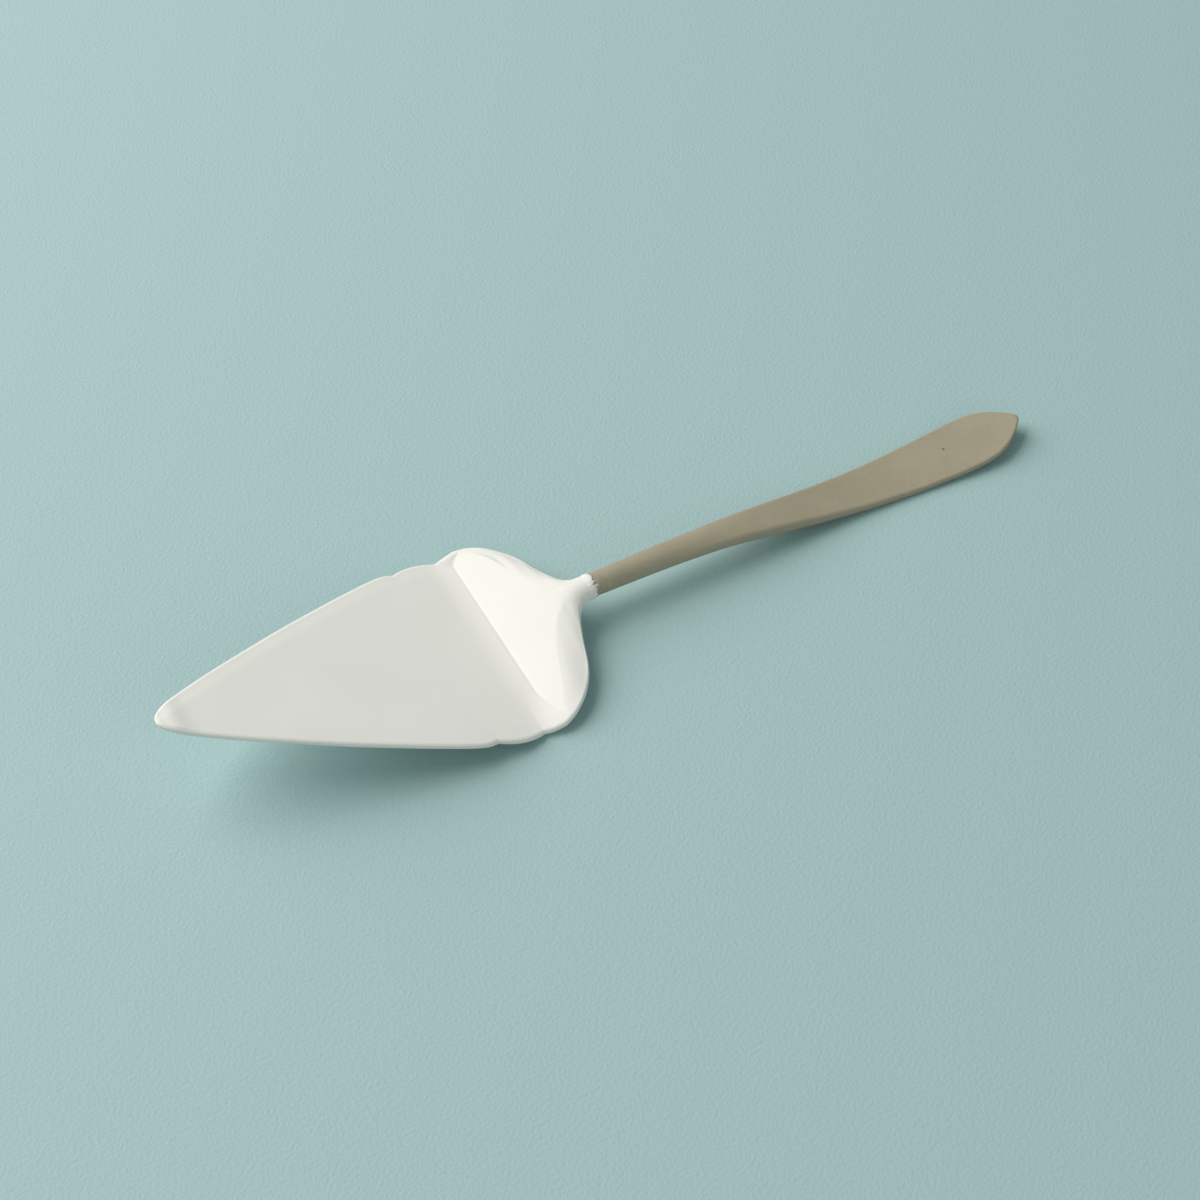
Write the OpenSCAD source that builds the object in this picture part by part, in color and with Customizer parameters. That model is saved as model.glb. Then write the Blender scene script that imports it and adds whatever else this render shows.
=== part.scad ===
/* [Blade] */
// Length of the blade from the tip to the crease at the heel
blade_l = 95.3; // [78:0.1:112]
// Width over the shoulders, the widest place
shoulder_w = 66.2; // [56:0.2:76]
// Width over the pair of bites nearer to the tip
front_bite_w = 63; // [54:0.2:72]
// Width over the pair of bites nearer to the heel
rear_bite_w = 64.6; // [55:0.2:74]
// Distance from the crease to the front bites
front_bite_l = 16.8; // [13:0.2:22]
// Distance from the crease to the rear bites
rear_bite_l = 4.2; // [2:0.2:7]
// How far the edge between two bites swells
scallop_h = 1.3; // [0.4:0.05:2.4]
// Angle at which the blade climbs from the heel to the tip, in degrees
blade_tilt = 15.7; // [6:0.1:22]
// Length over which the blade levels out in front of the crease
level_l = 7; // [4:0.5:12]
// Thickness of the pressed steel
sheet_t = 1.2; // [0.8:0.1:2]
// Thickness of the white enamel
enamel_t = 0.4; // [0.2:0.05:0.6]

/* [Neck] */
// Length of the riser and neck, from the crease to the enamel's mouth
neck_l = 27; // [25:0.2:34]
// Diameter of the coated neck
neck_d = 6.4; // [5.6:0.1:8]
// Height of the neck's centre above the table
neck_z = 9.1; // [7:0.1:13]
// How far the enamel swells just before its mouth
collar_h = 0.2; // [0.05:0.05:0.5]
// Length of that swelling
collar_l = 1.8; // [1:0.1:2.4]

/* [Handle] */
// Length of the handle, from the enamel's mouth to the leaf's point
handle_l = 137.5; // [110:0.5:165]
// Width of the leaf near the end of the handle
leaf_w = 17.8; // [14:0.1:24]
// Thickness of the leaf
leaf_t = 1.8; // [1.5:0.1:3]
// Thickness of the matt coat
coat_t = 0.3; // [0.15:0.05:0.5]
// Height of the leaf's point above the table
point_rise = 3.6; // [1:0.1:8]

/* [Tang] */
// Diameter of the blade's tang, which fills the handle's bore
tang_d = 2.6; // [2:0.1:2.8]
// Length of the tang
tang_l = 14; // [8:0.5:20]
// Gap left past the tang's end in the bore
bore_gap = 0.5; // [0.2:0.1:1]
// Wall of the handle's nose around the bore, inside the weld
nose_wall = 0.3; // [0.2:0.05:0.4]
// Length of the weld bead along the neck
weld_l = 3; // [2:0.2:3.6]

/* [Hidden] */

white = "#ECEBE5";
taupe = "#968E79";
steel = "#9A9DA0";
bead = "#7E7A75";

// Stations run along X and are counted from the crease, so the tip's is negative
tip = -blade_l;
front_bite = -front_bite_l;
rear_bite = -rear_bite_l;
mouth = neck_l;
end = neck_l + handle_l;
total_l = blade_l + neck_l + handle_l;
crease_x = blade_l - total_l / 2;
blade_t = sheet_t + 2 * enamel_t;
climb = tan(blade_tilt);

// The weld lies under the enamel, just before the collar
weld_end = mouth - collar_l;
weld_start = weld_end - weld_l;
nose_r = tang_d / 2 + nose_wall;

// Both coats lie on the same bare neck
bare_neck_r = neck_d / 2 - coat_t;
enamel_neck_r = bare_neck_r + enamel_t;
neck_gap = neck_z - neck_d / 2;

// How deep the two lowest places would reach below the table before they are ground flat
flat_h = 0.05;
// Blunt end of the tip and of the leaf's point
nib = 0.03;
// Overrun of every cut
over = 1;
// Half a step for slopes
dx = 0.02;

// Every table below holds hand-chosen rows [place, value], both as shares of the sizes above
// Blade edge: square root of the length from tip to front bite, half width
edge_shares = [
    [0, 0], [0.2, 0.136], [0.4, 0.293], [0.6, 0.504], [0.8, 0.768], [0.9, 0.911], [0.955, 0.988], [0.982, 1.012], [1, 1]
];
// Shoulder from rear bite to mouth: how far the outline has come in from shoulder to neck
shoulder_shares = [
    [0, 0.027], [0.08, 0.008], [0.15, 0], [0.21, 0.002], [0.34, 0.062], [0.49, 0.2], [0.61, 0.395], [0.7, 0.675],
    [0.78, 0.876], [0.85, 0.962], [0.91, 0.986], [1, 1]
];
// Height of the rim's middle from rear bite to mouth
rim_shares = [[0, 0], [0.19, 0.12], [0.39, 0.3], [0.58, 0.4], [0.78, 0.78], [0.9, 0.94], [1, 1]];
// Height of the riser along its middle from crease to mouth
riser_shares = [[0, 0], [0.2, 0.26], [0.4, 0.52], [0.6, 0.775], [0.71, 0.885], [0.83, 0.95], [1, 1]];
// Growth of the thickness from plate to neck, along the middle and at the rim
middle_shares = [[0, 0], [0.35, 0.05], [0.58, 0.27], [0.73, 0.6], [0.87, 0.9], [1, 1]];
side_shares = [[0, 0], [0.4, 0.02], [0.6, 0.11], [0.7, 0.26], [0.78, 0.52], [0.85, 0.8], [0.92, 0.96], [1, 1]];
// Half width of the flat facet on the riser, which narrows to a point before the neck
facet_shares = [
    [0, 0.95], [0.1, 0.93], [0.2, 0.86], [0.28, 0.76], [0.34, 0.64], [0.41, 0.5], [0.48, 0.34], [0.55, 0.2], [0.66, 0.07],
    [1, 0.06]
];
// Handle from mouth to leaf: half width, thickness and height of the underside
width_shares = [
    [0, 0], [0.115, 0.074], [0.265, 0.19], [0.34, 0.27], [0.415, 0.37], [0.565, 0.58], [0.69, 0.778], [0.8, 0.938],
    [0.87, 1], [0.9, 0.96]
];
thickness_shares = [[0, 1], [0.15, 0.93], [0.35, 0.48], [0.6, 0.17], [0.8, 0.04], [1, 0]];
underside_shares = [
    [0, 1], [0.1, 0.985], [0.2, 0.965], [0.3, 0.9], [0.4, 0.635], [0.5, 0.325], [0.6, 0.085], [0.67, 0.01], [0.71, 0]
];
// Leaf's point: square root of the length from the point back, half width
point_shares = [[0, 0], [0.25, 0.17], [0.5, 0.455], [0.7, 0.73], [0.85, 0.9], [0.93, 0.966], [1, 1]];

// Where the handle's leaf starts to close, and where its underside leaves the table
close_share = 0.9;
lift_share = 0.71;
// How fast the underside curves up behind that
lift_power = 1.9;
// Along the handle and along the neck: where the section starts and ends its change between flat and round
flatten_share = [0.15, 0.45];
gather_share = [0.45, 0.86];
// Share of the thickness over which the tip and the leaf's point round off
round_share = 0.75;
// How the roll beside the facet drops: 1 is straight
roll_power = 1.3;
// How square the leaf's edges are: 1 is a half circle, 0 a square corner
square_power = 0.45;

// Points on a quarter of a section: round edge, roll beside the facet, and the middle
edge_steps = 3;
roll_steps = 4;
steps = edge_steps + roll_steps + 1;
right_angle = 90;

function mix(a, b, t) = a + (b - a) * t;
function part_of(v, from, to) = max(0, min(1, (v - from) / (to - from)));
function smooth(t) = t * t * (3 - 2 * t);

// Smooth curve through the rows of a table
function slope_at(rows, i) =
    let (a = max(i - 1, 0), b = min(i + 1, len(rows) - 1))
    (rows[b][1] - rows[a][1]) / (rows[b][0] - rows[a][0]);
function curve(rows, s) =
    let (
        i = max([for (k = [0 : len(rows) - 2]) if (k == 0 || s >= rows[k][0]) k]),
        h = rows[i + 1][0] - rows[i][0],
        t = part_of(s, rows[i][0], rows[i + 1][0])
    )
    mix(rows[i][1], rows[i + 1][1], smooth(t))
    + h * t * (1 - t) * ((1 - t) * slope_at(rows, i) - t * slope_at(rows, i + 1));

// Quarter circle in height over a short length, for blunt ends
function blunt(d, l) = sqrt(1 - (1 - part_of(d, 0, l)) ^ 2);

// Places as shares of the stretch that they lie in
function on_shoulder(u) = part_of(u, rear_bite, mouth);
function on_riser(u) = part_of(u, 0, mouth);
function on_handle(u) = part_of(u, mouth, end);

// Half width of the plan outline at a station
function edge_w(s) = front_bite_w / 2 * curve(edge_shares, sqrt(s));
function scallop_w(s) = mix(front_bite_w, rear_bite_w, s) / 2 + 4 * scallop_h * s * (1 - s);
function shoulder_half_w(s) = mix(shoulder_w / 2, enamel_neck_r, curve(shoulder_shares, s));
function handle_half_w(s) = mix(neck_d, leaf_w, curve(width_shares, s)) / 2;
function point_half_w(s) = handle_half_w(close_share) * curve(point_shares, sqrt(s));
function half_w(u) =
    u <= front_bite ? edge_w(part_of(u, tip, front_bite))
    : u <= rear_bite ? scallop_w(part_of(u, front_bite, rear_bite))
    : u <= mouth ? shoulder_half_w(on_shoulder(u))
    : u <= mix(mouth, end, close_share) ? handle_half_w(on_handle(u))
    : point_half_w(part_of(u, end, mix(mouth, end, close_share)));

// Angle between the outline and X, level at the mouth where two coats meet
function side_angle(u) = abs(u - mouth) < 2 * dx ? 0 : atan((half_w(u + dx) - half_w(u - dx)) / (2 * dx));

// Middle of the plate above the table
function plate_z(u) =
    blade_t / 2 - flat_h
    + climb * (u < -level_l ? -u - level_l / 2 : min(u, 0) ^ 2 / (2 * level_l));

// Middle of the handle above the table
function handle_full_t(s) = mix(leaf_t, neck_d, curve(thickness_shares, s));
function underside_z(s) =
    s < lift_share ? mix(-flat_h, neck_gap, curve(underside_shares, s))
    : mix(-flat_h, point_rise, part_of(s, lift_share, 1) ^ lift_power);

// Rim: half thickness under a coat of depth t, and height of its middle
function rim_t(u, t) =
    u <= rear_bite ? (blade_t / 2 - t) * blunt(u - tip - t, round_share * blade_t)
    : u <= mouth ? mix(blade_t / 2, enamel_neck_r, curve(side_shares, on_shoulder(u))) - t
    : (handle_full_t(on_handle(u)) / 2 - t) * blunt(end - t - u, round_share * leaf_t);
function rim_z(u) =
    u <= rear_bite ? plate_z(u)
    : u <= mouth ? mix(plate_z(rear_bite), neck_z, curve(rim_shares, on_shoulder(u)))
    : underside_z(on_handle(u)) + handle_full_t(on_handle(u)) / 2;

// Middle: thickness and height of the top
function middle_t(u, t) =
    u <= 0 ? (blade_t - 2 * t) * blunt(u - tip - t, round_share * blade_t)
    : u <= mouth ? mix(blade_t, 2 * enamel_neck_r, curve(middle_shares, on_riser(u))) - 2 * t
    : 2 * rim_t(u, t);
function top_z(u, t) =
    u <= 0 ? plate_z(u) + middle_t(u, t) / 2
    : u <= mouth ? mix(blade_t - flat_h, neck_z + enamel_neck_r, curve(riser_shares, on_riser(u))) - t
    : rim_z(u) + rim_t(u, t);

// Round sections are 1, flat ones 0
function roundness(u) =
    u <= mouth ? smooth(part_of(on_riser(u), gather_share[0], gather_share[1]))
    : 1 - smooth(part_of(on_handle(u), flatten_share[0], flatten_share[1]));

// Swelling of the outer surface before the mouth
function swell(u, t) = t > 0 || u > mouth ? 0 : collar_h * sin(2 * right_angle * part_of(u, weld_end, mouth));

// One section under a coat of depth t: a closed ring of points
function flat_point(k, w, r, m, f, h, b, e) =
    k <= edge_steps ? let (a = right_angle * k / edge_steps, c = cos(a) ^ e, s = sin(a) ^ e)
    [w - r + r * c, m + r * s, m - r * s]
    : let (
        p = min(1, (k - edge_steps) / roll_steps),
        top = f + (m + r - f) * (1 - p) ^ roll_power
    )
    [k == steps ? 0 : mix(w - r, b, p), top, top - mix(2 * r, h, p)];
function round_point(k, w, m, f, h) =
    let (a = right_angle * k / steps, middle = mix(m, f - h / 2, sin(a)))
    [w * cos(a), middle + h / 2 * sin(a), middle - h / 2 * sin(a)];
function place(u, t) = u + t * sin(side_angle(u));
function ring(u, t) =
    let (
        v = place(u, t),
        g = swell(u, t),
        w = half_w(u) - t * cos(side_angle(u)) + g,
        r = rim_t(v, t) + g,
        m = rim_z(v),
        f = top_z(v, t) + g,
        h = middle_t(v, t) + 2 * g,
        b = (w - r) * curve(facet_shares, on_riser(v)),
        q = roundness(v),
        e = u < mouth ? 1 : square_power,
        half = [for (k = [0 : steps]) mix(flat_point(k, w, r, m, f, h, b, e), round_point(k, w, m, f, h), q)],
        x = v + crease_x
    )
    [
        for (k = [0 : steps]) [x, half[k][0], half[k][1]],
        for (k = [steps - 1 : -1 : 0]) [x, -half[k][0], half[k][1]],
        for (k = [1 : steps]) [x, -half[k][0], half[k][2]],
        for (k = [steps - 1 : -1 : 1]) [x, half[k][0], half[k][2]]
    ];

// The tang's axis rises from the middle of the weld's front face to the middle of the handle
tang_front_z = rim_z(weld_start);
tang_back_z = rim_z(weld_start + tang_l);
tang_slope = (tang_back_z - tang_front_z) / tang_l;
function tang_z(u) = tang_front_z + tang_slope * (u - weld_start);

// Ring round the handle's nose, in the plane of the section at the same station
function nose_ring(u, t) =
    let (v = place(u, t), x = v + crease_x)
    [
        for (k = [0 : 4 * steps - 1])
            let (a = right_angle * k / steps)
            [x, nose_r * cos(a), tang_z(v) + nose_r * sin(a)]
    ];

// Stations from tip to mouth and from mouth to end
tip_share = 0.93;
tip_n = 18;
bite_n = 8;
heel_n = 5;
riser_n = 16;
weld_n = 3;
collar_n = 3;
bar_n = 24;
point_n = 8;
edge_stations = [
    tip + nib,
    for (k = [1 : tip_n]) mix(tip, front_bite, (tip_share * k / tip_n) ^ 2),
    for (s = [0.955, 0.97, 0.982, 0.992, 1]) mix(tip, front_bite, s ^ 2)
];
blank_stations = [
    each edge_stations,
    for (k = [1 : bite_n]) mix(front_bite, rear_bite, k / bite_n),
    for (k = [1 : heel_n]) mix(rear_bite, 0, k / heel_n),
    for (k = [1 : riser_n]) mix(0, weld_start, k / riser_n)
];
weld_stations = [for (k = [0 : weld_n]) mix(weld_start, weld_end, k / weld_n)];
collar_stations = [for (k = [0 : collar_n]) mix(weld_end, mouth, k / collar_n)];
handle_stations = [
    for (k = [0 : bar_n]) mix(mouth, end, close_share * k / bar_n),
    for (k = [point_n - 1 : -1 : 1]) mix(end, mouth, (1 - close_share) * (k / point_n) ^ 2),
    end - nib
];

function rings(stations, t) = [for (u = stations) ring(u, t)];
function without_first(v) = [for (i = [1 : len(v) - 1]) v[i]];
function reversed(v) = [for (i = [len(v) - 1 : -1 : 0]) v[i]];
enamel_stations = [each blank_stations, each without_first(weld_stations), each without_first(collar_stations)];

// Skin through a row of rings, capped at both ends, or closed on itself. Each square is split along the
// diagonal that starts on its ring nearer to the tip, so a coat and its core share every triangle.
module loft(rows, closed = false) {
    n = len(rows[0]);
    count = len(rows);
    last = closed ? count - 1 : count - 2;
    polyhedron(
        points = [for (row = rows) each row],
        faces = [
            for (i = [0 : last], k = [0 : n - 1])
                let (
                    j = (i + 1) % count,
                    next = (k + 1) % n,
                    a = i * n + k,
                    b = i * n + next,
                    c = j * n + next,
                    d = j * n + k,
                    forward = rows[j][0][0] >= rows[i][0][0]
                )
                each (forward ? [[a, c, b], [a, d, c]] : [[a, d, b], [b, d, c]]),
            if (!closed) [for (k = [0 : n - 1]) k],
            if (!closed) [for (k = [n - 1 : -1 : 0]) (count - 1) * n + k]
        ]
    );
}

// Everything below the table
module below_table() {
    translate([-total_l / 2 - over, -shoulder_w / 2 - over, -over])
        cube([total_l + 2 * over, shoulder_w + 2 * over, over]);
}

// Round bar along the tang's axis between two stations
module tang_bar(from, to) {
    translate([from + crease_x, 0, tang_z(from)])
        rotate([0, right_angle - atan(tang_slope), 0])
            cylinder(d = tang_d, h = (to - from) * sqrt(1 + tang_slope ^ 2), $fn = 48);
}

// Pressed steel blade with its tang
module blade_blank() {
    color(steel) {
        loft(rings(blank_stations, enamel_t));
        tang_bar(weld_start - over, weld_start + tang_l);
    }
}

// Bead between the blade and the handle, round the handle's nose
module neck_weld() {
    color(bead)
        loft([
            each rings(weld_stations, enamel_t),
            nose_ring(weld_end, enamel_t),
            nose_ring(weld_start, enamel_t)
        ], closed = true);
}

// Steel bar of the handle, round at the neck and flattened to a leaf, with the tang's bore
module handle_bar() {
    color(steel)
        difference() {
            loft([
                nose_ring(weld_start, enamel_t),
                nose_ring(weld_end, enamel_t),
                each rings(collar_stations, enamel_t),
                each rings(without_first(handle_stations), coat_t)
            ]);
            tang_bar(weld_start - over, weld_start + tang_l + bore_gap);
        }
}

// White glassy coat over blade and neck, open at its mouth
module blade_enamel() {
    color(white)
        difference() {
            loft([each rings(enamel_stations, 0), each reversed(rings(enamel_stations, enamel_t))]);
            below_table();
        }
}

// Matt coat over the handle, open at the neck
module handle_coat() {
    color(taupe)
        difference() {
            loft([each reversed(rings(handle_stations, coat_t)), each rings(handle_stations, 0)]);
            below_table();
        }
}

blade_blank();
neck_weld();
handle_bar();
blade_enamel();
handle_coat();
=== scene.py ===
import math
import bpy
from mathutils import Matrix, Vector, noise


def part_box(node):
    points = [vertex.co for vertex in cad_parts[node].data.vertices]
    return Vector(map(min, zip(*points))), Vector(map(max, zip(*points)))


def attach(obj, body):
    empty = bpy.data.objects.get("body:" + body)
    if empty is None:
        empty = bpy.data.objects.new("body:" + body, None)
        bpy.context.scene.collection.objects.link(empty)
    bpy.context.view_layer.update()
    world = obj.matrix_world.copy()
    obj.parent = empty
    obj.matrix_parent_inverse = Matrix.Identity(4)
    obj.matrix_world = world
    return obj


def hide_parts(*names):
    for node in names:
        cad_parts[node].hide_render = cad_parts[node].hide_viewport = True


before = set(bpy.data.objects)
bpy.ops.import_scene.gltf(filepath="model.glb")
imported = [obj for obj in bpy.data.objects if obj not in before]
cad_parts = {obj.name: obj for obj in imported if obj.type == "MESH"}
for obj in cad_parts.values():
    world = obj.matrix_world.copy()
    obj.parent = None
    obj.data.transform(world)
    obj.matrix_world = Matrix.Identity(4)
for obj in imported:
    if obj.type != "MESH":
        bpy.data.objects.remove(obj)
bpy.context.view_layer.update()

# The white part runs from the tip to its mouth on the neck, the taupe part from there to the leaf's point.
# Every shape below is in millimetres on a server of the length named here. The frame says how long it
# really is.
whiteLow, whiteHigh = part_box("blade_enamel")
taupeLow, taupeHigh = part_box("handle_coat")
server = {
    "length": 259.8,
    "bladeLength": 95.3,        # tip to crease
    "neckLength": 27.0,         # crease to the mouth of the enamel
    "neckDiameter": 6.4,
    "neckHeight": 9.1,          # middle of the neck above the table
    "steelThickness": 1.2,
    "enamelThickness": 0.4,
    "coatThickness": 0.3,
    "nib": 0.03,                # blunt end of the tip and of the leaf's point
}
tip = -server["bladeLength"]
mouth = server["neckLength"]
end = tip + server["length"]
toFrame = (taupeHigh.x - whiteLow.x) / (server["length"] - 2 * server["nib"])
creaseX = whiteLow.x - (tip + server["nib"]) * toFrame
plateThickness = server["steelThickness"] + 2 * server["enamelThickness"]
neckRadius = server["neckDiameter"] / 2
bareNeckRadius = neckRadius - server["coatThickness"]
whiteNeckRadius = bareNeckRadius + server["enamelThickness"]


def mix(a, b, t):
    return a + (b - a) * t


def partOf(v, start, stop):
    return max(0.0, min(1.0, (v - start) / (stop - start)))


def smooth(t):
    return t * t * (3 - 2 * t)


def hill(v, middle, width):
    return math.exp(-((v - middle) / width) ** 2)


def softMax(a, b, width):
    return max(a, b) + max(0.0, width - abs(a - b)) ** 2 / (4 * width)


# Smooth curve through rows of (place, value)
def curve(rows, s):
    last = len(rows) - 1
    i = max([k for k in range(last) if s >= rows[k][0]] or [0])

    def slopeAt(k):
        a, b = max(k - 1, 0), min(k + 1, last)
        return (rows[b][1] - rows[a][1]) / (rows[b][0] - rows[a][0])
    width = rows[i + 1][0] - rows[i][0]
    t = partOf(s, rows[i][0], rows[i + 1][0])
    bend = width * t * (1 - t) * ((1 - t) * slopeAt(i) - t * slopeAt(i + 1))
    return mix(rows[i][1], rows[i + 1][1], smooth(t)) + bend


# Quarter circle in height over a short length, for blunt ends
def blunt(d, length):
    return math.sqrt(1 - (1 - partOf(d, 0, length)) ** 2)


# The white blade, shoulders and neck
blade = {
    "frontBiteWidth": 63.0, "rearBiteWidth": 64.6, "shoulderWidth": 66.15,
    "frontBite": -16.8, "rearBite": -4.2,   # places from the crease
    "scallop": 1.28,            # swelling of the edge between the bites
    "tilt": 15.7,               # degrees
    "levelLength": 7.0,         # the plate levels out over this length before the crease
    "grinding": 0.05,           # how far the heel is flattened where it stands
    "roundShare": 0.75,         # how far a blunt end takes to round off, in thicknesses
    "bodyFall": 0.5,            # how straight the sheet falls from the middle to the rim
    "softEdge": 4.0,            # width over which the enamel slumps towards the rim
    "slump": 0.26, "nearSlump": 0.1,    # and how much, at the far rim and the near one
    "mostSlump": 0.35,          # share of the rim's half thickness
    "slumpEnd": (-9.0, 1.0),    # it fades out between these places
    "tipBead": 0.5,             # enamel gathered near the tip as it ran
    "beadPlace": 4.6, "beadWidth": 2.5, "beadRise": 3.0,    # from the tip
    "creaseLine": 0.1,          # depth of the pressed line at the crease
    "creaseWidth": 0.45,
    "creaseWander": 0.25,       # share by which its depth wanders, over patches of this size
    "wanderGrain": 3.0,
    "creaseEnd": (2.5, 5.0),    # it fades out at this distance from the rim
    "creaseReach": (6.0, 4.0),
    "nearCurl": (18.0, 31.0),   # the plate curls up to the rim over this width on the near side
    "farCurl": (29.0, 32.0),    # and over this one on the far side
    "nearFall": 0.92,           # how straight the near slope falls beside the facet
    "farFall": 2.2,             # how early the far one falls, so that a nearly level band is left
    "fallFade": (12.8, 7.3),    # and where it turns into a round slope
    "ripple": 0.03,             # slow unevenness of the enamel's surface, in long swells and shorter ones
    "swell": (17.0, 14.0), "shortSwell": (6.0, 5.0), "shortShare": 0.3,
    "calmNeck": 0.6, "calmTip": 2.0,    # less of it on the neck and at the tip
    "mostDip": 0.36,            # the slopes beside the facet dip this far at most, as steel lies under them
    "dipBlend": 0.45,           # how softly they meet that limit
    "collar": 0.2,              # the enamel thickens a little where it ends
    "collarLength": 2.0, "collarPast": 0.5,
    "raggedMouth": 1.5,         # how unevenly its edge ends on the neck
    "raggedRings": 9,           # sections that take part
    "waves": 2.2, "waveShare": 0.4,     # in slow waves and small teeth
    "teeth": 9.0, "toothShare": 0.7,
    "lipLength": 0.16,          # it turns down onto the neck within this length
    "riserSlope": 0.5,          # of the riser where it runs on under the plate
}
# Rows of shares, chosen one by one: the outline, and the heights behind the crease
edgeRows = [(0, 0), (0.2, 0.136), (0.4, 0.293), (0.6, 0.504), (0.8, 0.768), (0.9, 0.911), (0.955, 0.988),
            (0.982, 1.012), (1, 1)]
shoulderRows = [(0, 0.027), (0.08, 0.008), (0.15, 0), (0.21, 0.002), (0.34, 0.062), (0.49, 0.2),
                (0.61, 0.395), (0.7, 0.675), (0.78, 0.876), (0.85, 0.962), (0.91, 0.986), (1, 1)]
rimRows = [(0, 0), (0.08, 0.02), (0.19, 0.115), (0.39, 0.3), (0.58, 0.4), (0.78, 0.78), (0.9, 0.94), (1, 1)]
riserRows = [(0, 0), (0.2, 0.26), (0.4, 0.52), (0.6, 0.775), (0.71, 0.885), (0.83, 0.95), (1, 1)]
middleRows = [(0, 0), (0.35, 0.05), (0.58, 0.27), (0.73, 0.6), (0.87, 0.9), (1, 1)]
sideRows = [(0, 0), (0.4, 0.02), (0.6, 0.11), (0.7, 0.26), (0.78, 0.52), (0.85, 0.8), (0.92, 0.96), (1, 1)]
# Edge of the facet on the riser, a little different on the two sides, as hand-dipped ware is
facetFarRows = [(0, 0.975), (0.037, 0.969), (0.13, 0.94), (0.222, 0.902), (0.289, 0.853), (0.344, 0.768),
                (0.37, 0.696), (0.41, 0.6), (0.456, 0.485), (0.5, 0.345), (0.55, 0.2), (0.6, 0.1),
                (0.66, 0.04), (1, 0.04)]
facetNearRows = [(0, 0.97), (0.05, 0.95), (0.102, 0.903), (0.2, 0.81), (0.27, 0.673), (0.333, 0.53),
                 (0.41, 0.383), (0.52, 0.23), (0.61, 0.164), (0.66, 0.068), (1, 0.05)]
# The same edge on the underside, where both sides are alike
underRows = [(0, 0.95), (0.1, 0.93), (0.2, 0.86), (0.28, 0.76), (0.34, 0.64), (0.41, 0.5), (0.48, 0.34),
             (0.55, 0.2), (0.66, 0.07), (1, 0.06)]
gather = (0.52, 0.9)            # where along the neck the section turns round
climb = math.tan(math.radians(blade["tilt"]))

# The taupe handle
handle = {
    "leafWidth": 17.8,
    "leafThickness": 1.8,
    "pointRise": 3.6,           # height of the leaf's point above the table
    "closeShare": 0.9,          # where the leaf starts to close
    "liftShare": 0.71,          # where its underside leaves the table
    "liftPower": 1.9,
    "flatten": (0.15, 0.45),    # where the round bar turns flat
    "edgePower": 0.7,           # 1 is a half-round edge, 0 a square one
    "unevenness": 0.06,         # hammered and filed by hand under the coat
    "hammerMark": (13.0, 6.0),  # size of the dents, along and across
    "overlap": 1.6,             # how far the coat runs in under the enamel's ragged edge
    "rings": 230, "endRings": 26,
}
widthRows = [(0, 0), (0.115, 0.074), (0.265, 0.19), (0.34, 0.27), (0.415, 0.37), (0.565, 0.58), (0.69, 0.778),
             (0.8, 0.938), (0.87, 1), (0.9, 0.96)]
thicknessRows = [(0, 1), (0.15, 0.93), (0.35, 0.48), (0.6, 0.17), (0.8, 0.04), (1, 0)]
undersideRows = [(0, 1), (0.1, 0.985), (0.2, 0.965), (0.3, 0.9), (0.4, 0.635), (0.5, 0.325), (0.6, 0.085),
                 (0.67, 0.01), (0.71, 0)]
pointRows = [(0, 0), (0.25, 0.17), (0.5, 0.455), (0.7, 0.73), (0.85, 0.9), (0.93, 0.966), (1, 1)]
closing = mix(mouth, end, handle["closeShare"])
hair = 0.001                    # the least step past the mouth, where the handle's widths begin


def handleHalfWidth(s):
    return mix(server["neckDiameter"], handle["leafWidth"], curve(widthRows, s)) / 2


def halfWidth(u):
    b = blade
    if u <= b["frontBite"]:
        return b["frontBiteWidth"] / 2 * curve(edgeRows, math.sqrt(partOf(u, tip, b["frontBite"])))
    if u <= b["rearBite"]:
        s = partOf(u, b["frontBite"], b["rearBite"])
        return mix(b["frontBiteWidth"], b["rearBiteWidth"], s) / 2 + 4 * b["scallop"] * s * (1 - s)
    if u <= mouth:
        s = partOf(u, b["rearBite"], mouth)
        return mix(b["shoulderWidth"] / 2, whiteNeckRadius, curve(shoulderRows, s))
    if u <= closing:
        return handleHalfWidth(partOf(u, mouth, end))
    return handleHalfWidth(handle["closeShare"]) * curve(pointRows, math.sqrt(partOf(u, end, closing)))


def plateMiddle(u):
    level = blade["levelLength"]
    rise = -u - level / 2 if u < -level else min(u, 0) ** 2 / (2 * level)
    return plateThickness / 2 - blade["grinding"] + climb * rise


def handleThickness(s):
    return mix(handle["leafThickness"], server["neckDiameter"], curve(thicknessRows, s))


def underside(s):
    low = -blade["grinding"]
    if s < handle["liftShare"]:
        return mix(low, server["neckHeight"] - neckRadius, curve(undersideRows, s))
    return mix(low, handle["pointRise"], partOf(s, handle["liftShare"], 1) ** handle["liftPower"])


# Rim: half thickness and height of its middle
def rimHalf(u):
    if u <= blade["rearBite"]:
        return plateThickness / 2 * blunt(u - tip, blade["roundShare"] * plateThickness)
    if u <= mouth:
        return mix(plateThickness / 2, whiteNeckRadius, curve(sideRows, partOf(u, blade["rearBite"], mouth)))
    thickness = handleThickness(partOf(u, mouth, end))
    return thickness / 2 * blunt(end - u, blade["roundShare"] * handle["leafThickness"])


def rimMiddle(u):
    if u <= blade["rearBite"]:
        return plateMiddle(u)
    if u <= mouth:
        share = curve(rimRows, partOf(u, blade["rearBite"], mouth))
        return mix(plateMiddle(blade["rearBite"]), server["neckHeight"], share)
    s = partOf(u, mouth, end)
    return underside(s) + handleThickness(s) / 2


# Top along the middle: the plate, and the riser that meets it at the crease
def plateTop(u):
    return plateMiddle(u) + plateThickness / 2 * blunt(u - tip, blade["roundShare"] * plateThickness)


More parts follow.
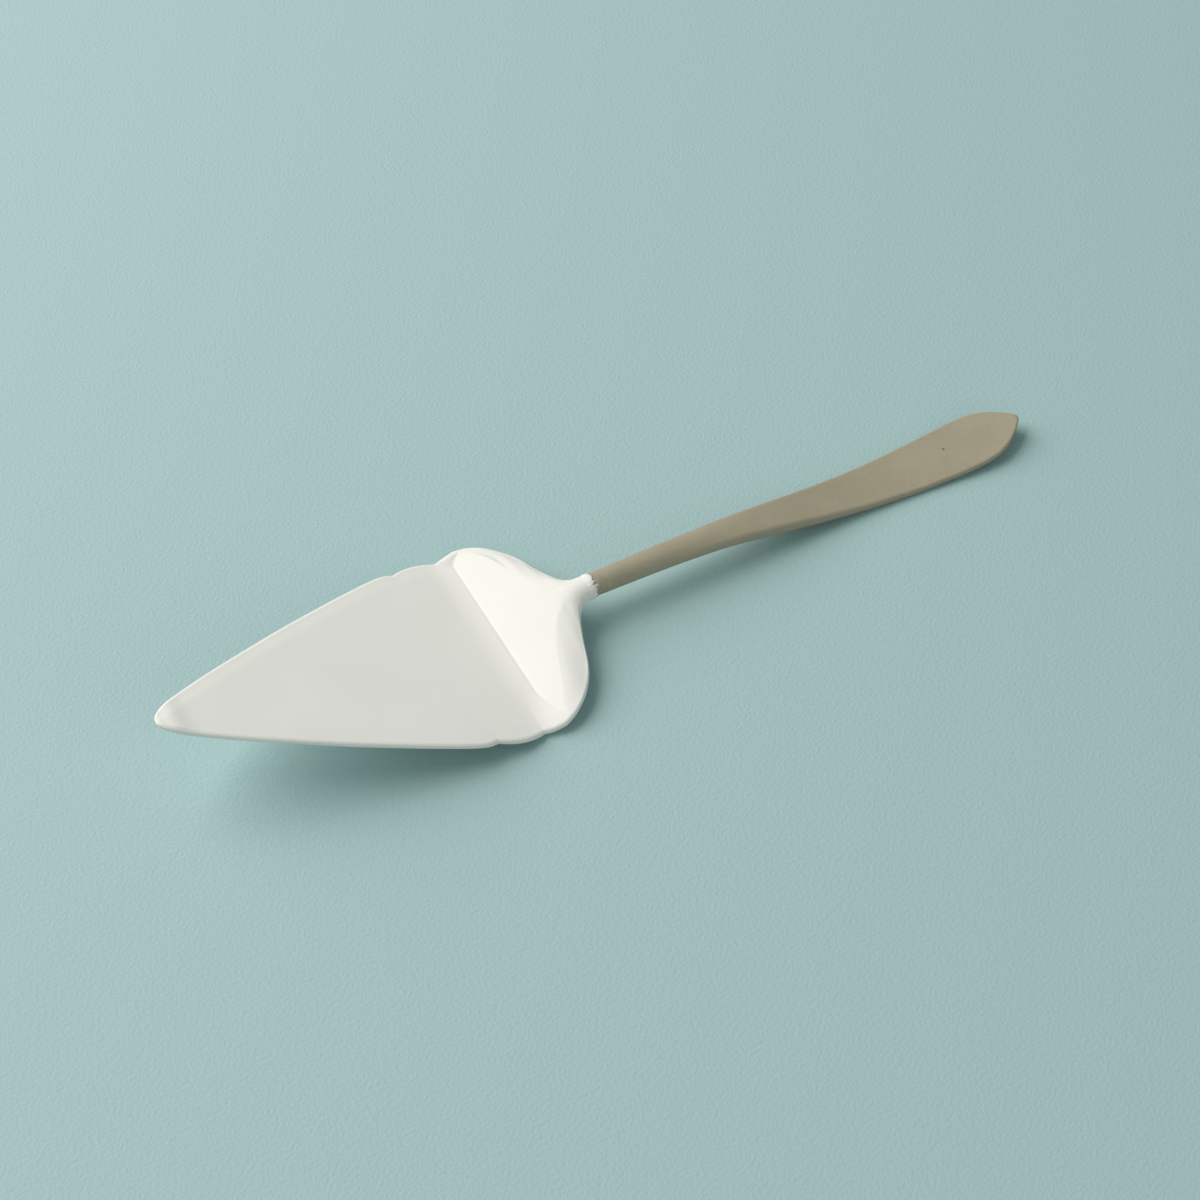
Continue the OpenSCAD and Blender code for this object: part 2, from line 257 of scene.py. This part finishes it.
def riserTop(u):
    low = plateThickness - blade["grinding"]
    if u < 0:
        return low + blade["riserSlope"] * u
    return mix(low, server["neckHeight"] + whiteNeckRadius, curve(riserRows, partOf(u, 0, mouth)))


def middleThickness(u):
    if u <= 0:
        return plateThickness * blunt(u - tip, blade["roundShare"] * plateThickness)
    return mix(plateThickness, 2 * whiteNeckRadius, curve(middleRows, partOf(u, 0, mouth)))


# Height of the white part's top between the rim and the middle: the plate, the riser with the band
# that falls from the facet's edge, and the pressed line where the two meet
def whiteTop(u, y, side, inner, rimTop, facet):
    b = blade
    curl = smooth(partOf(y, *(b["farCurl"] if side > 0 else b["nearCurl"])))
    plate = mix(plateTop(u), rimTop, curl)
    t = partOf(y, facet, inner)
    if side > 0:
        band = mix(t * t, 1 - (1 - t) ** b["farFall"], smooth(partOf(u, *b["fallFade"])))
    else:
        band = mix(t * t, t, b["nearFall"])
    riser = mix(riserTop(u), min(rimTop, riserTop(u)), band)
    line = hill(riser - plate, 0, b["riserSlope"] * b["creaseWidth"])
    wander = 1 + b["creaseWander"] * noise.noise(Vector((u, y / b["wanderGrain"], 7 + side)))
    fade = smooth(partOf(inner - y, *b["creaseEnd"])) * smooth(partOf(abs(u), *b["creaseReach"]))
    return max(plate, riser) - b["creaseLine"] * line * wander * fade


# Smooth noise in patches of about the size given, along and across. The layer picks another pattern
def patches(u, y, size, layer):
    return noise.noise(Vector((u / size[0], y / size[1], layer)))


def ripple(u, y):
    long, short = patches(u, y, blade["swell"], 3), patches(u, y, blade["shortSwell"], 11)
    return blade["ripple"] * (long + blade["shortShare"] * short)


# Half a section of the white part at a station: rows of (y, top, bottom) from the rim to the middle
edgeSteps, rollSteps, flatSteps = 8, 12, 26
halfSteps = edgeSteps + rollSteps + flatSteps
crowding = 1.5                  # points stand closer beside the facet's edge


# Angle of a section's point, so that a round section and a flat one turn at the same points
def turnOf(k):
    if k <= edgeSteps:
        return math.pi / 4 * k / edgeSteps
    return math.pi / 4 * (1 + (k - edgeSteps) / (halfSteps - edgeSteps))


def whiteHalf(u, side):
    b = blade
    w, r, m, h = halfWidth(u), rimHalf(u), rimMiddle(u), middleThickness(u)
    along = partOf(u, 0, mouth)
    inner = w - r
    facet = inner * curve(facetFarRows if side > 0 else facetNearRows, along)
    under = inner * curve(underRows, along)
    rounded = smooth(partOf(along, *gather))
    s = u - tip
    slump = min(b["slump" if side > 0 else "nearSlump"], b["mostSlump"] * r)
    slump *= 1 - smooth(partOf(u, *b["slumpEnd"]))
    bead = b["tipBead"] * hill(s, b["beadPlace"], b["beadWidth"]) * partOf(s, 0, b["beadRise"])
    swell = b["collar"] * math.sin(math.pi * partOf(u, mouth - b["collarLength"], mouth + b["collarPast"]))
    crown = riserTop(u) if u > 0 else plateTop(u)
    out = []
    for k in range(halfSteps + 1):
        if k <= edgeSteps:
            a = math.pi / 2 * k / edgeSteps
            y = inner + r * math.cos(a)
            top = m + (r - slump) * math.sin(a)
            bottom = m - r * math.sin(a)
        else:
            if k <= edgeSteps + rollSteps:
                y = mix(inner, facet, (k - edgeSteps) / rollSteps)
            else:
                y = facet * (1 - ((k - edgeSteps - rollSteps) / flatSteps) ** crowding)
            t = partOf(y, under, inner)
            body = mix(crown, m + r, mix(t * t, t, b["bodyFall"]))
            top = whiteTop(u, y, side, inner, m + r, facet)
            top -= slump * (1 - smooth(partOf(inner - y, 0, b["softEdge"])))
            top = softMax(top, body - b["mostDip"], b["dipBlend"])
            bottom = body - mix(h, 2 * r, t)
        a = turnOf(k)
        middle = mix(m, crown - h / 2, math.sin(a))
        half = (h / 2 + swell) * math.sin(a)
        y = mix(y, (w + swell) * math.cos(a), rounded)
        top = mix(top, middle + half, rounded)
        bottom = mix(bottom, middle - half, rounded)
        skin = ripple(u, side * y) * (1 - b["calmNeck"] * rounded)
        top += (skin + bead) * math.sin(a) * partOf(s, 0, b["calmTip"])
        out.append((side * y, top, max(0.0, bottom)))
    return out


# The coat starts under the enamel's edge, and keeps there the section it has just past the mouth
def handleHalf(u, side):
    past = max(u, mouth + hair)
    w, r, m = halfWidth(past), rimHalf(past), rimMiddle(past)
    rounded = 1 - smooth(partOf(partOf(u, mouth, end), *handle["flatten"]))
    power = handle["edgePower"]
    out = []
    for k in range(halfSteps + 1):
        if k <= edgeSteps:
            a = math.pi / 2 * k / edgeSteps
            c, s = max(0, math.cos(a)) ** power, math.sin(a) ** power
            flatRow = (w - r + r * c, r * s)
        else:
            t = 1 - (k - edgeSteps) / (halfSteps - edgeSteps)
            flatRow = ((w - r) * t, r)
        a = turnOf(k)
        y, z = mix(flatRow[0], w * math.cos(a), rounded), mix(flatRow[1], r * math.sin(a), rounded)
        uneven = handle["unevenness"] * patches(u, side * y, handle["hammerMark"], 21) * math.sin(a)
        out.append((side * y, m + z + uneven, max(0.0, m - z)))
    return out


# One closed ring of a section, starting at the far rim and running over the top
def ringOf(u, half):
    far, near = half(u, 1), half(u, -1)
    ring = [(u, y, top) for y, top, bottom in far]
    ring += [(u, y, top) for y, top, bottom in near[-2::-1]]
    ring += [(u, y, bottom) for y, top, bottom in near[1:]]
    ring += [(u, y, bottom) for y, top, bottom in far[-2:0:-1]]
    return ring


def placed(point):
    u, y, z = point
    return Vector((creaseX + u * toFrame, y * toFrame, z * toFrame))


def loftMesh(name, rings):
    mesh = bpy.data.meshes.new(name)
    n = len(rings[0])
    points = [placed(p) for ring in rings for p in ring]
    faces = []
    for i in range(len(rings) - 1):
        for k in range(n):
            a, b = i * n + k, i * n + (k + 1) % n
            faces.append((a, b, b + n, a + n))
    faces.append(tuple(range(n - 1, -1, -1)))
    faces.append(tuple((len(rings) - 1) * n + k for k in range(n)))
    mesh.from_pydata(points, [], faces)
    mesh.validate()
    piece = bpy.data.objects.new(name, mesh)
    bpy.context.scene.collection.objects.link(piece)
    for polygon in mesh.polygons:
        polygon.use_smooth = True
    return piece


def spread(start, stop, count):
    return [mix(start, stop, k / count) for k in range(1, count + 1)]


print("stage: shaping the white part")
# Sections crowd at the tip, and then come in rows of (place, sections up to it), closest at the crease
tipReach, tipRings = 6, 16
stationRows = [(-20, 96), (-1.5, 62), (4, 62), (mouth, 92)]
whiteStations = [tip + server["nib"]]
whiteStations += [tip + tipReach * (k / tipRings) ** 2 for k in range(2, tipRings + 1)]
start = tip + tipReach
for stop, count in stationRows:
    whiteStations += spread(start, stop, count)
    start = stop
whiteRings = [ringOf(u, whiteHalf) for u in whiteStations]


# Noise round the neck, with about this many swings in each direction
def roundNeck(a, swings, layer):
    return noise.noise(Vector((swings * math.cos(a), swings * math.sin(a), layer)))


# The last few rings are drawn out unevenly, and then the edge turns down onto the neck
def ragged(ring, amount):
    out = []
    for u, y, z in ring:
        a = math.atan2(z - server["neckHeight"], y)
        uneven = blade["waveShare"] * roundNeck(a, blade["waves"], 5)
        uneven += blade["toothShare"] * roundNeck(a, blade["teeth"], 9)
        out.append((u + amount * uneven, y, z))
    return out


def drawnTo(ring, radius):
    out = []
    for u, y, z in ring:
        a = math.atan2(z - server["neckHeight"], y)
        out.append((u, radius * math.cos(a), server["neckHeight"] + radius * math.sin(a)))
    return out


for i in range(blade["raggedRings"]):
    whiteRings[-1 - i] = ragged(whiteRings[-1 - i], blade["raggedMouth"] * (1 - i / blade["raggedRings"]))
lip = whiteRings[-1]
lipDrops = (0.5, 0.85, 1.0)     # shares of the enamel's thickness
for drop in lipDrops:
    radius = mix(whiteNeckRadius, bareNeckRadius, drop)
    whiteRings.append([(u + blade["lipLength"] * drop, y, z) for u, y, z in drawnTo(lip, radius)])
whitePiece = loftMesh("enamel_blade", whiteRings)
print("  points:", len(whitePiece.data.vertices))

print("stage: shaping the handle")
handleStations = spread(mouth - handle["overlap"], closing, handle["rings"])
last = handle["endRings"]
handleStations += [mix(end, closing, (1 - k / last) ** 2) for k in range(1, last - 1)]
handleStations.append(end - server["nib"])
handleRings = [ringOf(u, handleHalf) for u in handleStations]
handlePiece = loftMesh("coated_handle", handleRings)
print("  points:", len(handlePiece.data.vertices))


# Hex colour as it is seen, turned into the linear values that the sockets take
def linear(text):
    parts = [int(text[i:i + 2], 16) / 255 for i in (1, 3, 5)]
    return [c / 12.92 if c <= 0.04045 else ((c + 0.055) / 1.055) ** 2.4 for c in parts] + [1.0]


# Adds a node, sets its properties and sockets, and links sockets to other nodes' outputs
def addNode(tree, kind, settings=None, **sockets):
    node = tree.nodes.new(kind)
    for key, value in (settings or {}).items():
        setattr(node, key, value)
    for key, value in sockets.items():
        socket = node.inputs[key.replace("_", " ")]
        if isinstance(value, bpy.types.NodeSocket):
            tree.links.new(value, socket)
        else:
            socket.default_value = value
    return node


def newMaterial(name):
    material = bpy.data.materials.new(name)
    material.use_nodes = True
    tree = material.node_tree
    tree.nodes.clear()
    return material, tree


# Scale of a pattern whose grains are this many millimetres across
def perMetre(grain):
    return 1000 / grain


# Mixes two colours, each a hex value or another node's colour
def blend(tree, factor, a, b):
    node = addNode(tree, "ShaderNodeMix", {"data_type": "RGBA"}, Factor=factor)
    for socket, value in ((node.inputs["A"], a), (node.inputs["B"], b)):
        if isinstance(value, str):
            socket.default_value = linear(value)
        else:
            tree.links.new(value, socket)
    return node.outputs["Result"]


# Vitreous enamel, dipped and fired: glass over a white ground, milky and never quite level. Broad soft
# lamps turn its gloss into a faint, wide sheen, so it is rougher here than fired glass, and its IOR is lower
enamelLook = {
    "white": "#F0EEEB", "shade": "#EAE8E4",
    "roughness": 0.42, "ior": 1.15,
    "cloud": 16.7,                      # size of its patches, in mm
    "peel": 1.43, "peelDepth": 0.2,     # orange peel of the fired surface, in mm
    "peelStrength": 0.02,
}


def makeEnamel():
    look = enamelLook
    material, tree = newMaterial("vitreous_enamel_fired")
    place = addNode(tree, "ShaderNodeTexCoord").outputs["Object"]
    cloud = addNode(tree, "ShaderNodeTexNoise", Vector=place, Scale=perMetre(look["cloud"]), Detail=2.0)
    tone = blend(tree, cloud.outputs["Fac"], look["shade"], look["white"])
    peel = addNode(tree, "ShaderNodeTexNoise", Vector=place, Scale=perMetre(look["peel"]), Detail=1.0)
    bump = addNode(tree, "ShaderNodeBump", Strength=look["peelStrength"], Distance=look["peelDepth"] / 1000,
                   Height=peel.outputs["Fac"])
    shader = addNode(tree, "ShaderNodeBsdfPrincipled", Base_Color=tone, Roughness=look["roughness"],
                     IOR=look["ior"], Normal=bump.outputs["Normal"])
    addNode(tree, "ShaderNodeOutputMaterial", Surface=shader.outputs["BSDF"])
    return material


# Matt lacquer, sprayed on steel and baked: dead flat sheen, fine grit, a little cloudiness, a speck of
# dirt baked in, and light scuffs where the enamel ends. The grit is coarser than the real one, to show
coatLook = {
    "taupe": "#A89F8A", "deep": "#9F9681", "roughness": 0.55,
    "cloud": 11.0, "mottle": 0.9, "mottleShare": 0.7,   # sizes in mm
    "toneRange": (0.55, 1.15),
    "grit": 0.45, "gritDepth": 0.1, "gritStrength": 0.35,
    "speck": (140.3, 1.2), "speckSize": 0.45, "dirt": "#5E5648",
    "scuffLength": 9.0, "scuffWidth": 0.8, "scuffStretch": 0.25, "scuff": "#C4BCAB",
    "scuffRange": (0.64, 0.74),     # more of the bar is scuffed where these are lower
}


def makeCoat():
    look = coatLook
    material, tree = newMaterial("matt_lacquer_sprayed")
    place = addNode(tree, "ShaderNodeTexCoord").outputs["Object"]
    cloud = addNode(tree, "ShaderNodeTexNoise", Vector=place, Scale=perMetre(look["cloud"]), Detail=3.0)
    mottle = addNode(tree, "ShaderNodeTexNoise", Vector=place, Scale=perMetre(look["mottle"]), Detail=2.0)
    both = addNode(tree, "ShaderNodeMath", {"operation": "MULTIPLY_ADD"}, Value=mottle.outputs["Fac"])
    both.inputs[1].default_value = look["mottleShare"]
    tree.links.new(cloud.outputs["Fac"], both.inputs[2])
    low, high = look["toneRange"]
    level = addNode(tree, "ShaderNodeMapRange", Value=both.outputs[0], From_Min=low, From_Max=high)
    tone = blend(tree, level.outputs["Result"], look["deep"], look["taupe"])

    spot = addNode(tree, "ShaderNodeVectorMath", {"operation": "DISTANCE"})
    tree.links.new(place, spot.inputs[0])
    v, y = look["speck"]
    share = partOf(v, mouth, end)
    spot.inputs[1].default_value = placed((v, y, underside(share) + handleThickness(share)))
    size = look["speckSize"] / 1000
    dark = addNode(tree, "ShaderNodeMapRange", Value=spot.outputs["Value"], From_Min=size, From_Max=size / 2)
    tone = blend(tree, dark.outputs["Result"], tone, look["dirt"])

    # Thin scuffs run round the bar, so the pattern is stretched across it
    stretch = addNode(tree, "ShaderNodeMapping", Vector=place)
    stretch.inputs["Scale"].default_value = (1, look["scuffStretch"], look["scuffStretch"])
    mark = addNode(tree, "ShaderNodeTexNoise", Vector=stretch.outputs["Vector"],
                   Scale=perMetre(look["scuffWidth"]))
    low, high = look["scuffRange"]
    marked = addNode(tree, "ShaderNodeMapRange", Value=mark.outputs["Fac"], From_Min=low, From_Max=high)
    along = addNode(tree, "ShaderNodeSeparateXYZ", Vector=place)
    start, stop = placed((mouth, 0, 0)).x, placed((mouth + look["scuffLength"], 0, 0)).x
    near = addNode(tree, "ShaderNodeMapRange", Value=along.outputs["X"], From_Min=stop, From_Max=start)
    scuffed = addNode(tree, "ShaderNodeMath", {"operation": "MULTIPLY"}, Value=marked.outputs["Result"])
    tree.links.new(near.outputs["Result"], scuffed.inputs[1])
    tone = blend(tree, scuffed.outputs[0], tone, look["scuff"])

    grit = addNode(tree, "ShaderNodeTexNoise", Vector=place, Scale=perMetre(look["grit"]), Detail=2.0)
    bump = addNode(tree, "ShaderNodeBump", Strength=look["gritStrength"], Distance=look["gritDepth"] / 1000,
                   Height=grit.outputs["Fac"])
    shader = addNode(tree, "ShaderNodeBsdfPrincipled", Base_Color=tone, Roughness=look["roughness"],
                     Normal=bump.outputs["Normal"])
    addNode(tree, "ShaderNodeOutputMaterial", Surface=shader.outputs["BSDF"])
    return material


# Mild steel sheet and bar, pickled before coating: grey metal with a dull, fine tooth, drawn coarse to show
steelLook = {"grey": "#A9A9A6", "tooth": 0.67, "roughness": (0.35, 0.55)}


def makeSteel():
    material, tree = newMaterial("mild_steel_pickled")
    place = addNode(tree, "ShaderNodeTexCoord").outputs["Object"]
    tooth = addNode(tree, "ShaderNodeTexNoise", Vector=place, Scale=perMetre(steelLook["tooth"]))
    low, high = steelLook["roughness"]
    rough = addNode(tree, "ShaderNodeMapRange", Value=tooth.outputs["Fac"], To_Min=low, To_Max=high)
    shader = addNode(tree, "ShaderNodeBsdfPrincipled", Base_Color=linear(steelLook["grey"]), Metallic=1.0,
                     Roughness=rough.outputs["Result"])
    addNode(tree, "ShaderNodeOutputMaterial", Surface=shader.outputs["BSDF"])
    return material


print("stage: materials")
whitePiece.data.materials.append(makeEnamel())
handlePiece.data.materials.append(makeCoat())
steel = makeSteel()
for node in ("blade_blank", "neck_weld", "handle_bar"):
    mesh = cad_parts[node].data
    mesh.materials.clear()
    mesh.materials.append(steel)

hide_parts("blade_enamel")
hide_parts("handle_coat")
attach(whitePiece, "root")
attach(handlePiece, "root")

print("stage: table, lamps and camera")
# Board painted with a roller in matt wall paint: flat colour with a faint stipple
board = {
    "colour": "#A7C4C6", "roughness": 0.75,
    "size": 1.8,                # metres
    "stipple": 0.95, "stippleDepth": 0.5, "stippleStrength": 0.34,      # sizes in mm
}


def makeTable():
    material, tree = newMaterial("painted_board_rolled")
    place = addNode(tree, "ShaderNodeTexCoord").outputs["Object"]
    stipple = addNode(tree, "ShaderNodeTexNoise", Vector=place, Scale=perMetre(board["stipple"]), Detail=3.0)
    bump = addNode(tree, "ShaderNodeBump", Strength=board["stippleStrength"],
                   Distance=board["stippleDepth"] / 1000, Height=stipple.outputs["Fac"])
    shader = addNode(tree, "ShaderNodeBsdfPrincipled", Base_Color=linear(board["colour"]),
                     Roughness=board["roughness"], Normal=bump.outputs["Normal"])
    addNode(tree, "ShaderNodeOutputMaterial", Surface=shader.outputs["BSDF"])
    half = board["size"] / 2
    corners = [(-half, -half, 0), (half, -half, 0), (half, half, 0), (-half, half, 0)]
    mesh = bpy.data.meshes.new("table")
    mesh.from_pydata(corners, [], [(0, 1, 2, 3)])
    table = bpy.data.objects.new("table", mesh)
    bpy.context.scene.collection.objects.link(table)
    mesh.materials.append(material)


# Two large softboxes aimed at the middle of the server, and a pale sky
studio = {
    "key": {"from": (-0.76, 0.9, 1.0), "size": 2.0, "power": 58.5, "colour": "#FFF8F3"},
    "fill": {"from": (0.4, -2.0, 0.8), "size": 2.0, "power": 10.5, "colour": "#FFF5EC"},
    "distance": 2.1,
    "sky": "#C9E6E3", "skyStrength": 0.3,
}


def addLamp(name, given):
    lamp = bpy.data.lights.new(name, "AREA")
    lamp.shape, lamp.size, lamp.energy = "SQUARE", given["size"], given["power"]
    lamp.color = linear(given["colour"])[:3]
    holder = bpy.data.objects.new(name, lamp)
    away = Vector(given["from"]).normalized()
    holder.location = away * studio["distance"]
    holder.rotation_euler = away.to_track_quat("Z", "Y").to_euler()
    bpy.context.scene.collection.objects.link(holder)


makeTable()
addLamp("key_softbox", studio["key"])
addLamp("fill_softbox", studio["fill"])
world = bpy.data.worlds.new("studio")
bpy.context.scene.world = world
world.use_nodes = True
sky = world.node_tree.nodes["Background"]
sky.inputs["Color"].default_value = linear(studio["sky"])
sky.inputs["Strength"].default_value = studio["skyStrength"]

# The camera's place, measured from the crease in millimetres, and how it is turned in degrees
view = {
    "from": (-180.56, -387.55, 544.25),
    "turn": 28.476, "down": 50.919,
    "lens": 78.0, "sensor": 36.0,
    "reach": 20.0,              # metres
}
turn, down = math.radians(view["turn"]), math.radians(view["down"])
looking = Vector((math.sin(turn) * math.cos(down), math.cos(turn) * math.cos(down), -math.sin(down)))
cameraData = bpy.data.cameras.new("camera")
cameraData.lens, cameraData.sensor_width = view["lens"], view["sensor"]
cameraData.clip_end = view["reach"]
camera = bpy.data.objects.new("camera", cameraData)
camera.location = placed(view["from"])
camera.rotation_euler = looking.to_track_quat("-Z", "Y").to_euler()
bpy.context.scene.collection.objects.link(camera)
bpy.context.scene.camera = camera
bpy.context.scene.view_settings.view_transform = "Standard"

print("stage: done")
